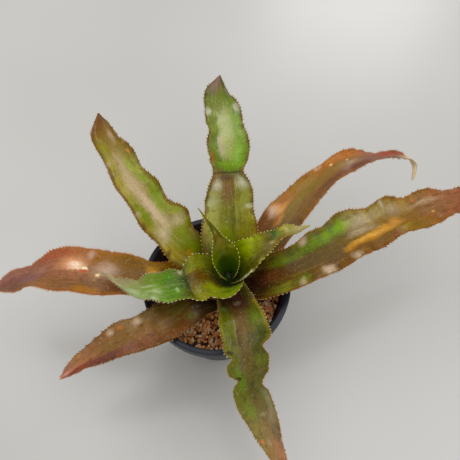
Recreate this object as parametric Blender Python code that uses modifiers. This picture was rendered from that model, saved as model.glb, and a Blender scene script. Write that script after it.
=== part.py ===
# Potted bromeliad: a young rosette in a round plastic nursery pot.
# Metres, +Z up. The pot stands on z = 0 with its axis on the Z axis.
import bpy
import numpy as np
from math import cos, pi, radians, sin

for old in list(bpy.data.objects):
    bpy.data.objects.remove(old, do_unlink=True)

mm = 0.001

# ---- driving dimensions (millimetres and degrees) ----
potHeight = 90.0
potRimRadius = 52.5
potLipRadius = 48.5
potCollarDrop = 12.0
potWallTop = 48.6
potWallFoot = 31.0
potSkin = 2.0
potFloorTop = 6.0
footRise = 4.0
drainRing = 18.5
drainRadius = 4.0
drainCount = 8
soilEdge = 72.0
soilCrown = 77.3
fit = 0.4
plantAxis = (8.0, 0.0)
leafSkin = 1.3
leafRows = 26
leafColumns = 6

plant = bpy.data.collections.new("potted_bromeliad")
bpy.context.scene.collection.children.link(plant)
tools = bpy.data.collections.new("cutters")
bpy.context.scene.collection.children.link(tools)


def material(name, colour, roughness):
    m = bpy.data.materials.new(name)
    m.use_nodes = True
    shader = m.node_tree.nodes["Principled BSDF"]
    shader.inputs["Base Color"].default_value = (*colour, 1.0)
    shader.inputs["Roughness"].default_value = roughness
    m.diffuse_color = (*colour, 1.0)
    return m


def keep(obj, name, mat, group):
    obj.name = name
    obj.data.name = name
    for c in list(obj.users_collection):
        c.objects.unlink(obj)
    group.objects.link(obj)
    obj.data.materials.clear()
    if mat:
        obj.data.materials.append(mat)
    return obj


def turned(name, profile, steps, centre):
    """A (radius, height) profile in mm, from the axis down the outside, spun about a vertical axis."""
    mesh = bpy.data.meshes.new(name)
    points = [(r * mm, 0.0, z * mm) for r, z in profile]
    mesh.from_pydata(points, [(k, k + 1) for k in range(len(points) - 1)], [])
    obj = bpy.data.objects.new(name, mesh)
    bpy.context.scene.collection.objects.link(obj)
    obj.location = (centre[0] * mm, centre[1] * mm, 0.0)
    spin = obj.modifiers.new("turn", "SCREW")
    spin.steps = steps
    spin.render_steps = steps
    spin.use_merge_vertices = True
    spin.merge_threshold = 0.00001
    return obj


def cut(obj, cutter):
    hole = obj.modifiers.new(cutter.name, "BOOLEAN")
    hole.operation = "DIFFERENCE"
    hole.solver = "EXACT"
    hole.object = cutter
    cutter.hide_render = True
    cutter.display_type = "WIRE"


# ---- pot: tapered wall, stepped collar and flat lip, floor with drain holes ----
blackPlastic = material("black_plastic", (0.012, 0.014, 0.022), 0.32)
top = potHeight
collar = potHeight - potCollarDrop
potProfile = [
    (0.0, potFloorTop),
    (potWallFoot - potSkin + 0.6, potFloorTop),
    (potWallTop - potSkin, collar - 2.0),
    (potLipRadius, top - 0.5),
    (potLipRadius + 0.5, top),
    (potRimRadius - 0.6, top),
    (potRimRadius, top - 0.6),
    (potRimRadius - 0.8, collar),
    (potWallTop, collar),
    (potWallFoot, 0.0),
    (potWallFoot - 3.0, 0.0),
    (potWallFoot - 4.5, footRise),
    (10.5, footRise),
    (9.0, 0.0),
    (0.0, 0.0),
]
pot = turned("pot", potProfile, 64, (0.0, 0.0))
keep(pot, "pot", blackPlastic, plant)
for k in range(drainCount):
    a = 2 * pi * (k + 0.5) / drainCount
    place = (drainRing * cos(a) * mm, drainRing * sin(a) * mm, 5.0 * mm)
    bpy.ops.mesh.primitive_cylinder_add(vertices=16, radius=drainRadius * mm, depth=16 * mm, location=place)
    drill = keep(bpy.context.object, "drain_cutter_%d" % k, None, tools)
    cut(pot, drill)

# ---- stem: short woody cone the leaves clasp, with its foot buried in the mix ----
stemTissue = material("stem_tissue", (0.16, 0.11, 0.05), 0.7)
stemProfile = [
    (0.0, 105.0),
    (2.2, 103.0),
    (3.8, 98.0),
    (5.0, 94.0),
    (6.3, 89.0),
    (8.0, 84.0),
    (9.6, 78.5),
    (9.6, 72.0),
    (8.5, 64.0),
    (5.0, 59.0),
    (0.0, 58.0),
]
stem = turned("stem", stemProfile, 24, plantAxis)
keep(stem, "stem", stemTissue, plant)

# ---- planting mix: filled to a low crown round the stem, lumpy on top ----
grit = material("reddish_grit", (0.30, 0.13, 0.06), 0.95)
wallIn = potWallTop - potSkin
edgeRadius = potWallFoot - potSkin + (wallIn - potWallFoot + potSkin) * soilEdge / (collar - 2.0) - fit
soilProfile = []
for k in range(9):
    f = k / 8
    soilProfile.append((edgeRadius * f, soilEdge + (soilCrown - soilEdge) * cos(f * pi / 2)))
soilProfile.append((potWallFoot - potSkin + 0.5 - fit, potFloorTop + fit))
soilProfile.append((0.0, potFloorTop + fit))
mix = turned("planting_mix", soilProfile, 48, (0.0, 0.0))
keep(mix, "planting_mix", grit, plant)
bpy.context.view_layer.objects.active = mix
bpy.ops.object.modifier_apply(modifier="turn")
for v in mix.data.vertices:
    r = (v.co.x ** 2 + v.co.y ** 2) ** 0.5 / mm
    if v.co.z > (soilEdge - 1) * mm and r < edgeRadius - 2:
        v.co.z += 0.7 * mm * (sin(v.co.x * 900 + 1.3) * sin(v.co.y * 1100) - 0.6)
socketProfile = [(0.0, 84.0), (10.4, 84.0), (10.4, 72.0), (9.0, 60.0), (0.0, 57.0)]
socket = turned("stem_socket", socketProfile, 24, plantAxis)
keep(socket, "stem_socket", None, tools)
cut(mix, socket)


# ---- leaves ----
def through(values, x):
    """Smooth curve through evenly spaced values, x from 0 to 1."""
    v = np.array(values, float)
    flat = v.ndim == 1
    if flat:
        v = v[:, None]
    n = len(v) - 1
    k = np.clip((x * n).astype(int), 0, n - 1)
    f = (x * n - k)[:, None]
    v = np.vstack([2 * v[:1] - v[1:2], v, 2 * v[-1:] - v[-2:-1]])
    a, b, c, d = v[k], v[k + 1], v[k + 2], v[k + 3]
    result = b + 0.5 * f * (c - a + f * (2 * a - 5 * b + 4 * c - d + f * (3 * (b - c) + d - a)))
    return result[:, 0] if flat else result


def ease(a, b, x):
    t = np.clip((x - a) / (b - a), 0, 1)
    return t * t * (3 - 2 * t)


def leafPoints(shape, s, t):
    """Rows of a leaf: sheath rows wrap the plant axis, blade rows are shallow channels."""
    axis = np.array([plantAxis[0], plantAxis[1], 0.0])
    a = radians(shape["azimuth"])
    out = np.array([cos(a), sin(a), 0.0])
    side = np.array([-sin(a), cos(a), 0.0])
    rib = np.array([out * p[0] + side * p[1] + np.array([0, 0, p[2]]) for p in shape["midrib"]]) + axis
    fine = np.linspace(0, 1, 400)
    line = through(rib, fine)
    length = np.append(0, np.cumsum(np.linalg.norm(np.diff(line, axis=0), axis=1)))
    u = np.interp(s * length[-1], length, fine)
    mid = through(rib, u)
    along = through(rib, np.clip(u + 0.001, 0, 1)) - through(rib, np.clip(u - 0.001, 0, 1))
    along /= np.linalg.norm(along, axis=1)[:, None]
    across = side - (along @ side)[:, None] * along
    across /= np.linalg.norm(across, axis=1)[:, None]
    above = np.cross(along, across)
    left = np.maximum(through(shape["left"], s), 0.5)
    right = np.maximum(through(shape["right"], s), 0.5)
    for place, edge, depth, spread in shape.get("nips", []):
        dent = depth * np.exp(-(((s - place) / spread) ** 2))
        if edge > 0:
            left = np.maximum(left - dent, 0.5)
        else:
            right = np.maximum(right - dent, 0.5)
    half = np.where(t[None, :] > 0, left[:, None], right[:, None])
    bend = np.radians(through(shape["channel"], s))[:, None] * half / ((left + right) / 2)[:, None]
    x = half / bend * np.sin(bend * t)
    y = half / bend * (1 - np.cos(bend * t))
    ripple = ease(0.12, 0.35, s) * (1 - ease(0.85, 1.0, s))
    for edge, key in ((1, "rippleLeft"), (-1, "rippleRight")):
        count, height, start = shape.get(key, (0, 0, 0))
        wave = height * ripple * np.sin(2 * pi * (count * s + start))
        y = y + np.where(t * edge > 0, wave[:, None] * np.abs(t) ** 2.4, 0)
    blade = mid[:, None] + across[:, None] * x[..., None] + above[:, None] * y[..., None]
    reach = np.hypot(mid[:, 0] - axis[0], mid[:, 1] - axis[1])[:, None]
    start = np.arctan2(mid[:, 1] - axis[1], mid[:, 0] - axis[0])[:, None]
    turn = start + half * t / np.maximum(reach, 3.0)
    level = np.broadcast_to(mid[:, 2:3], turn.shape)
    sheath = np.stack([axis[0] + reach * np.cos(turn), axis[1] + reach * np.sin(turn), level], -1)
    low, high = shape["sheath"]
    blend = ease(low, high, s)[:, None, None]
    return sheath * (1 - blend) + blade * blend


def leaf(name, colour, shape):
    s = np.linspace(0, 1, leafRows + 1)
    t = np.linspace(-1, 1, leafColumns + 1)
    points = leafPoints(shape, s, t).reshape(-1, 3) * mm
    bpy.ops.mesh.primitive_grid_add(x_subdivisions=leafColumns, y_subdivisions=leafRows, size=1)
    obj = bpy.context.object
    for v in obj.data.vertices:
        v.co = points[v.index]
    obj.location = (0, 0, 0)
    wall = obj.modifiers.new("thickness", "SOLIDIFY")
    wall.thickness = leafSkin * mm
    wall.offset = 0
    return keep(obj, name, material(name + "_tissue", colour, 0.45), plant)


leaf("leaf_southwest", (0.20, 0.10, 0.06), {
    "azimuth": 210,
    "midrib": [
        (11, 4, 79), (26, -1, 88), (44, 5, 92), (67, 4, 94),
        (95, -1, 89), (118, -2, 80), (133, -3, 70),
    ],
    "left": [13, 14, 14, 13, 14, 11, 11, 7, 4, 0.5],
    "right": [13, 12, 11, 13, 12, 13, 9, 8, 4, 0.5],
    "channel": [30, 25, 15, 12, 20, 30],
    "sheath": (0.10, 0.30),
    "rippleLeft": (5, 1.2, 0.2),
    "rippleRight": (4, 1.0, 0.6),
})
leaf("leaf_northeast", (0.33, 0.15, 0.07), {
    "azimuth": 35,
    "midrib": [
        (10, 2, 81), (24, 4, 88), (57, 13, 97), (91, 22, 103), (125, 24, 104),
        (150, 16, 99), (171, 11, 91), (180, 1, 83), (174, -7, 75),
    ],
    "left": [13, 14, 14, 16, 11, 10, 9, 7, 3, 1.2, 0.9],
    "right": [13, 14, 13, 12, 12, 9, 10, 4, 3, 1.2, 0.9],
    "channel": [30, 25, 15, 18, 25, 30],
    "sheath": (0.06, 0.22),
    "rippleLeft": (5, 1.5, 0.1),
    "rippleRight": (5, 1.2, 0.5),
})
leaf("leaf_west", (0.34, 0.15, 0.07), {
    "azimuth": 180,
    "midrib": [
        (10, 0, 84), (34, -4, 96), (59, 0, 101), (92, -4, 101),
        (119, -7, 96), (142, -5, 87), (173, -1, 72),
    ],
    "left": [13, 15, 18, 15, 18, 17, 16, 9, 7, 0.5],
    "right": [14, 13, 12, 15, 15, 16, 15, 10, 9, 0.5],
    "channel": [40, 25, 15, 15, 25, 30],
    "sheath": (0.06, 0.22),
    "rippleLeft": (5, 1.2, 0.4),
    "rippleRight": (6, 1.2, 0.1),
})
leaf("leaf_east", (0.22, 0.13, 0.06), {
    "azimuth": 18,
    "midrib": [
        (9, -3, 86), (33, -8, 101), (65, -8, 108), (96, -4, 113),
        (129, -3, 115), (163, 3, 111), (217, 4, 98),
    ],
    "left": [13, 14, 15, 21, 19, 21, 14, 9, 5, 0.5],
    "right": [13, 18, 17, 15, 15, 10, 13, 12, 7, 0.5],
    "channel": [40, 25, 15, 15, 25, 30],
    "sheath": (0.05, 0.20),
    "rippleLeft": (7, 1.5, 0.3),
    "rippleRight": (6, 1.5, 0.0),
})
leaf("leaf_northwest", (0.22, 0.19, 0.06), {
    "azimuth": 127,
    "midrib": [(8, 0, 89), (22, 0, 99), (38, 11, 111), (69, 17, 123), (112, 15, 132), (147, 7, 136)],
    "left": [13, 15, 19, 15, 14, 12, 12, 10, 11, 0.5],
    "right": [14, 13, 10, 16, 15, 15, 13, 12, 6, 0.5],
    "channel": [50, 25, 20, 20, 25, 30],
    "sheath": (0.08, 0.24),
    "rippleLeft": (5, 1.2, 0.0),
    "rippleRight": (5, 1.5, 0.4),
})
leaf("leaf_south", (0.17, 0.15, 0.06), {
    "azimuth": 285,
    "midrib": [
        (8, 2, 91), (29, 0, 102), (52, -4, 106), (71, -8, 103),
        (90, -2, 91), (110, 0, 77), (135, 7, 57),
    ],
    "left": [12, 13, 18, 18, 16, 10, 8, 7, 4, 0.5],
    "right": [13, 13, 14, 12, 10, 13, 12, 7, 4, 0.5],
    "channel": [50, 25, 15, 15, 25, 30],
    "sheath": (0.08, 0.24),
    "rippleLeft": (5, 1.5, 0.7),
    "rippleRight": (5, 1.2, 0.2),
    "nips": [(0.33, 1, 5, 0.03), (0.51, 1, 4, 0.035), (0.385, -1, 3, 0.025), (0.46, -1, 4, 0.025)],
})
leaf("leaf_north", (0.20, 0.28, 0.05), {
    "azimuth": 93,
    "midrib": [(7, 0, 94), (33, -3, 117), (63, -3, 137), (93, -2, 150), (134, -1, 153)],
    "left": [12, 19, 20, 17, 12, 12, 12, 13, 11, 0.5],
    "right": [12, 19, 19, 17, 14, 15, 15, 12, 5, 0.5],
    "channel": [60, 30, 20, 20, 25, 35],
    "sheath": (0.08, 0.24),
    "rippleLeft": (4, 1.2, 0.5),
    "rippleRight": (5, 1.2, 0.1),
    "nips": [(0.485, 1, 3, 0.04), (0.485, -1, 4, 0.04)],
})
leaf("leaf_inner_left", (0.18, 0.27, 0.08), {
    "azimuth": 190,
    "midrib": [(6, 2, 97), (15, 3, 112), (28, 6, 120), (46, 7, 119), (67, 1, 113), (86, -16, 108)],
    "left": [11, 20, 24, 18, 14, 10, 7, 3, 1, 0.5],
    "right": [11, 16, 17, 12, 9, 10, 6, 4, 1, 0.5],
    "channel": [70, 50, 30, 25, 30, 30],
    "sheath": (0.10, 0.30),
    "rippleLeft": (6, 0.8, 0.1),
    "rippleRight": (6, 0.8, 0.5),
})
leaf("leaf_inner_right", (0.20, 0.24, 0.10), {
    "azimuth": 30,
    "midrib": [(5, 0, 100), (15, 2, 116), (25, -1, 124), (41, -1, 128), (61, -5, 127)],
    "left": [9, 12, 11, 10, 9, 7, 5, 4, 2, 0.5],
    "right": [9, 13, 16, 15, 10, 6, 4, 3, 3, 0.5],
    "channel": [70, 45, 30, 20, 20, 30],
    "sheath": (0.10, 0.30),
    "rippleLeft": (4, 0.6, 0.1),
    "rippleRight": (4, 0.6, 0.5),
})
leaf("leaf_heart", (0.10, 0.18, 0.03), {
    "azimuth": 112,
    "midrib": [(4, 0, 103), (7, 0, 114), (9, 0, 124), (18, 2, 138), (31, 8, 152)],
    "left": [7, 11, 13, 11, 8, 4, 2, 1.5, 1.2, 1],
    "right": [7, 11, 12, 11, 8, 4, 2, 1.5, 1.2, 1],
    "channel": [80, 70, 50, 30, 30, 30],
    "sheath": (0.20, 0.50),
})
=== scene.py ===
import bpy
import random
import numpy as np
from math import cos, pi, radians, sin
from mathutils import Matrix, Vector


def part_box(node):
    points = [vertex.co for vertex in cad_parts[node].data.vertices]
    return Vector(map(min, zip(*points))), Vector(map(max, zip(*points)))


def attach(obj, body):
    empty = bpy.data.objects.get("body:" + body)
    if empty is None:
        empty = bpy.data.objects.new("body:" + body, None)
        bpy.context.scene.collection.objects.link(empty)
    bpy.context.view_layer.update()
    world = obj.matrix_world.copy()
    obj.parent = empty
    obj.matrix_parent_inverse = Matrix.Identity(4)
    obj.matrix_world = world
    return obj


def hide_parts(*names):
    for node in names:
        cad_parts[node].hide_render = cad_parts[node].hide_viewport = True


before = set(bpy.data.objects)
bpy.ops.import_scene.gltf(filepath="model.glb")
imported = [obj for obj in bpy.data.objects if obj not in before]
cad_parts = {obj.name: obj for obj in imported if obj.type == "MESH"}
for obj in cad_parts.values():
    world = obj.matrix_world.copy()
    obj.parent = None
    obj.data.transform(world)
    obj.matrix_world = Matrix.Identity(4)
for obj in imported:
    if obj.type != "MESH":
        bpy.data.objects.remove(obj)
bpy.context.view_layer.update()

mm = 0.001

potLow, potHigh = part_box("pot")
stemLow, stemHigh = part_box("stem")
rimCentre = Vector(((potLow[0] + potHigh[0]) / 2, (potLow[1] + potHigh[1]) / 2, potHigh[2]))
rimRadius = (potHigh[0] - potLow[0]) / 2
baseHeight = potLow[2]
plantAxis = np.array([(stemLow[0] + stemHigh[0]) / 2, (stemLow[1] + stemHigh[1]) / 2, baseHeight])

bpy.ops.object.select_all(action="DESELECT")
print("frame loaded, pot rim %.1f mm across" % (rimRadius * 2 / mm))


# shader sums written as plain expressions
class Tone:
    def __init__(self, tree, socket):
        self.tree = tree
        self.socket = socket

    def node(self, kind, settings, inputs, out=0):
        # settings first, then the sockets' values or links
        made = self.tree.nodes.new(kind)
        for name, value in settings.items():
            if name == "stops":
                stops = made.color_ramp.elements
                while len(stops) < len(value):
                    stops.new(0.5)
                for stop, (place, colour) in zip(stops, value):
                    stop.position = place
                    stop.color = colour
                made.color_ramp.interpolation = "EASE"
            else:
                setattr(made, name, value)
        for place, value in inputs.items():
            if isinstance(value, Tone):
                self.tree.links.new(value.socket, made.inputs[place])
            else:
                made.inputs[place].default_value = value
        return Tone(self.tree, made.outputs[out])

    def sum(self, operation, *values):
        return self.node("ShaderNodeMath", {"operation": operation}, dict(enumerate(values)))

    def __add__(self, other):
        return self.sum("ADD", self, other)

    def __radd__(self, other):
        return self.sum("ADD", other, self)

    def __sub__(self, other):
        return self.sum("SUBTRACT", self, other)

    def __rsub__(self, other):
        return self.sum("SUBTRACT", other, self)

    def __mul__(self, other):
        return self.sum("MULTIPLY", self, other)

    def __rmul__(self, other):
        return self.sum("MULTIPLY", other, self)

    def __abs__(self):
        return self.sum("ABSOLUTE", self)

    def rise(self, low, high):
        # 0 below low, 1 above high, eased between
        settings = {"interpolation_type": "SMOOTHSTEP"}
        return self.node("ShaderNodeMapRange", settings, {0: self, 1: low, 2: high, 3: 0.0, 4: 1.0})

    def into(self, colour, share, way="MIX"):
        # this colour turned into another by a share from 0 to 1
        settings = {"data_type": "RGBA", "blend_type": way}
        return self.node("ShaderNodeMix", settings, {0: share, 6: self, 7: colour}, 2)

    def ramp(self, tones):
        # stops of place and written colour
        stops = [(place, paint(tone)) for place, tone in tones]
        return self.node("ShaderNodeValToRGB", {"stops": stops}, {0: self})

    def noise(self, scale, detail=3.0, rough=0.5):
        inputs = {"Vector": self, "Scale": scale, "Detail": detail, "Roughness": rough}
        return self.node("ShaderNodeTexNoise", {}, inputs)

    def stretch(self, x, y, z):
        return self.node("ShaderNodeMapping", {}, {0: self, 3: (x, y, z)})


def paint(text):
    # a written colour made linear, with 1 for alpha
    parts = [int(text[i:i + 2], 16) / 255 for i in (0, 2, 4)]
    linear = [c / 12.92 if c <= 0.04045 else ((c + 0.055) / 1.055) ** 2.4 for c in parts]
    return (*linear, 1.0)


def newMaterial(name):
    made = bpy.data.materials.new(name)
    made.use_nodes = True
    shader = made.node_tree.nodes["Principled BSDF"]
    return made, Tone(made.node_tree, None), shader


def onBody(name):
    # a material whose patterns lie in the piece's own coordinates
    made, start, shader = newMaterial(name)
    return made, start.node("ShaderNodeTexCoord", {}, {}, "Object"), shader


def feed(tone, shader, socket):
    tone.tree.links.new(tone.socket, shader.inputs[socket])


def bumpInto(shader, height, distance, strength):
    inputs = {"Strength": strength, "Distance": distance, "Height": height}
    feed(height.node("ShaderNodeBump", {}, inputs), shader, "Normal")


# camera, floor and light
view = {"lens": 50.0, "place": (0.0094, -0.1729, 0.4193), "aim": (0.0094, 0.0417, 0.0)}
bpy.ops.object.camera_add(location=rimCentre + Vector(view["place"]))
camera = bpy.context.object
camera.name = "camera"
camera.data.lens = view["lens"]
camera.data.clip_start = 0.01
towards = rimCentre + Vector(view["aim"]) - camera.location
camera.rotation_euler = towards.to_track_quat("-Z", "Y").to_euler()
bpy.context.scene.camera = camera

studio = {
    "floorSize": 24.0, "floorDark": "c2c1be", "floorPale": "cac9c6", "floorRough": 0.25,
    "skyTone": (1.0, 0.99, 0.97, 1.0), "skyStrength": 0.7,
}
bpy.ops.mesh.primitive_plane_add(size=studio["floorSize"], location=(0, 0, baseHeight))
floor = bpy.context.object
floor.name = "floor"
floorMaterial, body, shader = onBody("pale_floor")
cloud = body.noise(3.0, 2.0)
feed(cloud.ramp([(0.3, studio["floorDark"]), (0.7, studio["floorPale"])]), shader, "Base Color")
shader.inputs["Roughness"].default_value = studio["floorRough"]
floor.data.materials.append(floorMaterial)

sky = bpy.data.worlds.new("studio")
bpy.context.scene.world = sky
sky.use_nodes = True
backdrop = sky.node_tree.nodes["Background"]
backdrop.inputs["Color"].default_value = studio["skyTone"]
backdrop.inputs["Strength"].default_value = studio["skyStrength"]
bpy.context.scene.view_settings.view_transform = "Standard"

lampsAim = Vector((0, 0, 0.1))
lamps = {
    "overheadLeft": {"place": (-0.35, 0.45, 1.35), "size": 0.75, "power": 3.0},
    "overheadRight": {"place": (0.45, 0.1, 1.4), "size": 0.75, "power": 3.0},
    "window": {"place": (0.45, 1.6, 1.1), "size": 0.6, "power": 4.6},
}
for name, lamp in lamps.items():
    bpy.ops.object.light_add(type="AREA", location=lamp["place"])
    light = bpy.context.object
    light.name = name
    light.data.size = lamp["size"]
    light.data.energy = lamp["power"]
    light.rotation_euler = (lampsAim - light.location).to_track_quat("-Z", "Y").to_euler()
print("camera, floor and lights set")


# what every leaf has unless its own dictionary says otherwise, in millimetres
leafHabit = {
    "rippleLeft": (0, 0, 0), "rippleRight": (0, 0, 0),    # waves along the edge, height, start
    "scallop": 0.07, "waviness": 1.5, "crinkle": 0.45, "crinkleRun": (7.0, 9.0),
    "swelling": 0.13, "swellings": 6,
    "nips": [], "folds": [],
    "pitch": 2.0, "spine": 1.3, "spineSizes": (0.65, 1.15), "brokenSpines": 0.1,
    "columns": 21, "thick": 1.15, "leastHalf": 0.25,
}


def through(values, x):
    # smooth curve through evenly spaced values, x from 0 to 1
    v = np.array(values, float)
    flat = v.ndim == 1
    if flat:
        v = v[:, None]
    n = len(v) - 1
    k = np.clip((x * n).astype(int), 0, n - 1)
    f = (x * n - k)[:, None]
    v = np.vstack([2 * v[:1] - v[1:2], v, 2 * v[-1:] - v[-2:-1]])
    a, b, c, d = v[k], v[k + 1], v[k + 2], v[k + 3]
    result = b + 0.5 * f * (c - a + f * (2 * a - 5 * b + 4 * c - d + f * (3 * (b - c) + d - a)))
    return result[:, 0] if flat else result


def ease(low, high, x):
    t = np.clip((x - low) / (high - low), 0, 1)
    return t * t * (3 - 2 * t)


def midLine(shape, s):
    a = radians(shape["azimuth"])
    out = np.array([cos(a), sin(a), 0.0])
    side = np.array([-sin(a), cos(a), 0.0])
    rib = np.array([out * p[0] + side * p[1] + np.array([0, 0, p[2]]) for p in shape["midrib"]])
    fine = np.linspace(0, 1, 400)
    line = through(rib, fine)
    length = np.append(0, np.cumsum(np.linalg.norm(np.diff(line, axis=0), axis=1)))
    u = np.interp(s * length[-1], length, fine)
    mid = through(rib, u)
    along = through(rib, np.clip(u + 0.001, 0, 1)) - through(rib, np.clip(u - 0.001, 0, 1))
    along /= np.linalg.norm(along, axis=1)[:, None]
    across = side - (along @ side)[:, None] * along
    across /= np.linalg.norm(across, axis=1)[:, None]
    return mid, along, across, np.cross(along, across), length[-1]


def leafSurface(shape, s, t, dice):
    # sheath rows wrap the plant axis, blade rows are shallow channels; millimetres about the axis
    mid, along, across, above, length = midLine(shape, s)
    ripple = ease(0.12, 0.35, s) * (1 - ease(0.85, 1.0, s))
    halves = []
    for edge, widths, key in ((1, "left", "rippleLeft"), (-1, "right", "rippleRight")):
        count, height, start = shape[key]
        half = np.maximum(through(shape[widths], s), shape["leastHalf"])
        half = half * (1 + shape["scallop"] * ripple * np.sin(2 * pi * (count * s + start) + 1.0))
        for place, nipEdge, depth, spread in shape["nips"]:
            if nipEdge == edge:
                half = half - depth * np.exp(-(((s - place) / spread) ** 2))
        halves.append(np.maximum(half, shape["leastHalf"]))
    left, right = halves
    body = np.clip(t, -1, 1)
    half = np.where(body[None, :] > 0, left[:, None], right[:, None])
    bend = np.radians(through(shape["channel"], s))[:, None] * half / ((left + right) / 2)[:, None]
    x = half / bend * np.sin(bend * body)
    y = half / bend * (1 - np.cos(bend * body))
    for edge, key in ((1, "rippleLeft"), (-1, "rippleRight")):
        count, height, start = shape[key]
        wave = shape["waviness"] * height * ripple * np.sin(2 * pi * (count * s + start))
        # short crinkles ride on the long waves of each margin
        crinkles, lag = length / dice.uniform(*shape["crinkleRun"]), dice.uniform(0, 6.28)
        wander = 2.5 * np.sin(2 * pi * 2.3 * s + lag)
        crinkle = shape["crinkle"] * ripple * np.sin(2 * pi * crinkles * s + lag + wander)
        on = body * edge > 0
        y = y + np.where(on, wave[:, None] * np.abs(body) ** 2.2 + crinkle[:, None] * np.abs(body) ** 5, 0)
    # slow swellings that break up the sheen
    for k in range(shape["swellings"]):
        turns, lean, start = dice.uniform(3, 11), dice.uniform(-1.5, 1.5), dice.uniform(0, 6.28)
        wave = np.sin(2 * pi * turns * s[:, None] + lean * body[None, :] * pi + start)
        y = y + shape["swelling"] * ripple[:, None] * wave * (1 - 0.5 * body[None, :] ** 2)
    for place, depth, spread in shape["folds"]:
        y = y - depth * np.exp(-(((s - place) / spread) ** 2))[:, None] * (1 - 0.3 * body[None, :] ** 2)
    blade = mid[:, None] + across[:, None] * x[..., None] + above[:, None] * y[..., None]
    reach = np.hypot(mid[:, 0], mid[:, 1])[:, None]
    start = np.arctan2(mid[:, 1], mid[:, 0])[:, None]
    turn = start + half * body / np.maximum(reach, 3.0)
    level = np.broadcast_to(mid[:, 2:3], turn.shape)
    sheath = np.stack([reach * np.cos(turn), reach * np.sin(turn), level], -1)
    low, high = shape["sheath"]
    blend = ease(low, high, s)[:, None, None]
    return sheath * (1 - blend) + blade * blend, along, length


toothSteps = ((0.02, 0.0), (0.4, 0.1), (1.0, 0.7), (0.08, 0.1))    # push outwards, lead towards the tip
toothRows = len(toothSteps)
bladeShare = 0.94      # the blade takes this much of the map's width, the teeth the rest


def growLeaf(name, shape, seed):
    dice = random.Random(seed)
    shape = {**leafHabit, **shape}
    length = midLine(shape, np.array([0.0, 1.0]))[4]
    teeth = int(length / shape["pitch"])
    rows = teeth * toothRows
    s = np.linspace(0, 1, rows + 1)
    inner = np.sin(np.linspace(-pi / 2, pi / 2, shape["columns"]))
    t = np.concatenate([[1.0], inner[::-1], [-1.0]])
    points, along, length = leafSurface(shape, s, t, dice)
    # each edge has a row of forward spines of uneven size
    grown = ease(0.02, 0.1, s) * (1 - 0.65 * ease(0.88, 1.0, s))
    for column, inward in ((0, 4), (len(t) - 1, -4)):
        outward = points[:, column] - points[:, column + inward]
        outward /= np.maximum(np.linalg.norm(outward, axis=1), 0.001)[:, None]
        for k in range(teeth):
            size = shape["spine"] * dice.uniform(*shape["spineSizes"]) * grown[k * toothRows]
            if dice.random() < shape["brokenSpines"]:
                size *= 0.3
            for part, (push, lead) in enumerate(toothSteps):
                i = k * toothRows + part
                points[i, column] += (outward[i] * push + along[i] * lead) * size
    count = len(t)
    bpy.ops.object.select_all(action="DESELECT")
    bpy.ops.mesh.primitive_grid_add(x_subdivisions=count - 1, y_subdivisions=rows, size=1.0)
    leaf = bpy.context.object
    leaf.name = name
    leaf.data.name = name
    leaf.location = (0, 0, 0)
    flat = points.reshape(-1, 3) * mm + plantAxis
    leaf.data.vertices.foreach_set("co", flat.ravel())
    # the unrolled leaf is its own map: u runs from right to left edge, v from base to tip
    across = np.tile(t * bladeShare, (rows + 1, 1))
    push = np.append(np.tile([step[0] for step in toothSteps], teeth), 0.0)
    across[:, 0] += (1 - bladeShare) * push
    across[:, -1] -= (1 - bladeShare) * push
    spread = np.stack([0.5 + 0.5 * across, np.tile(s[:, None], (1, count))], -1).reshape(-1, 2)
    corner = np.zeros(len(leaf.data.loops), int)
    leaf.data.loops.foreach_get("vertex_index", corner)
    leaf.data.uv_layers[0].data.foreach_set("uv", spread[corner].ravel())
    wall = leaf.vertex_groups.new(name="wall")
    thin = np.clip(1.15 - np.abs(t) ** 3 * 0.8, 0.2, 1.0)
    thin[[0, -1]] = 0.12
    for column in range(count):
        for i in range(rows + 1):
            weight = thin[column] * (1 - 0.6 * float(ease(0.9, 1.0, s[i])))
            wall.add([i * count + column], weight, "REPLACE")
    leaf.data.update()
    bpy.ops.object.shade_smooth()
    thick = leaf.modifiers.new("thick", "SOLIDIFY")
    thick.thickness = shape["thick"] * mm
    thick.offset = 0
    thick.vertex_group = "wall"
    thick.thickness_vertex_group = 0.1
    thick.material_offset = 1
    bpy.ops.object.modifier_apply(modifier="thick")
    leaf.vertex_groups.clear()
    return leaf


# what every leaf's finish has unless its own dictionary says otherwise
leafFinish = {
    "darkShare": 0.45, "lightShare": 0.35, "lineShare": 0.15, "edgeShare": 0.8, "edgeAt": 0.82,
    "scurf": 0.2, "scurfUnder": 0.55, "scale": "c8c6a8", "bloom": [], "flecks": 0.1, "fleckTone": "e8e0c0",
    # the first share on the next line is painted shade and painted light for the ripples' troughs and crests
    "rippleShading": 0.35, "graining": 0.45, "fullness": 1.15, "lift": 1.0,
    "rough": 0.18, "coatRough": 0.16, "specular": 0.12, "reliefDepth": 0.0006, "reliefStrength": 0.3,
    "halfWidth": 14.0,
}


def spotMask(spot, ragged, place, lean, run, reach, inner=0.35, outer=1.2):
    # 1 inside a patch: how far along it lies, how far to the side, its half length and half width
    inputs = {0: spot, 1: (lean, place, 0.0), 3: (reach, run, 1.0)}
    near = spot.node("ShaderNodeMapping", {"vector_type": "TEXTURE"}, inputs)
    far = near.node("ShaderNodeVectorMath", {"operation": "LENGTH"}, {0: near}, 1)
    return 1.0 - (far + ragged).rise(inner, outer)


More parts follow.
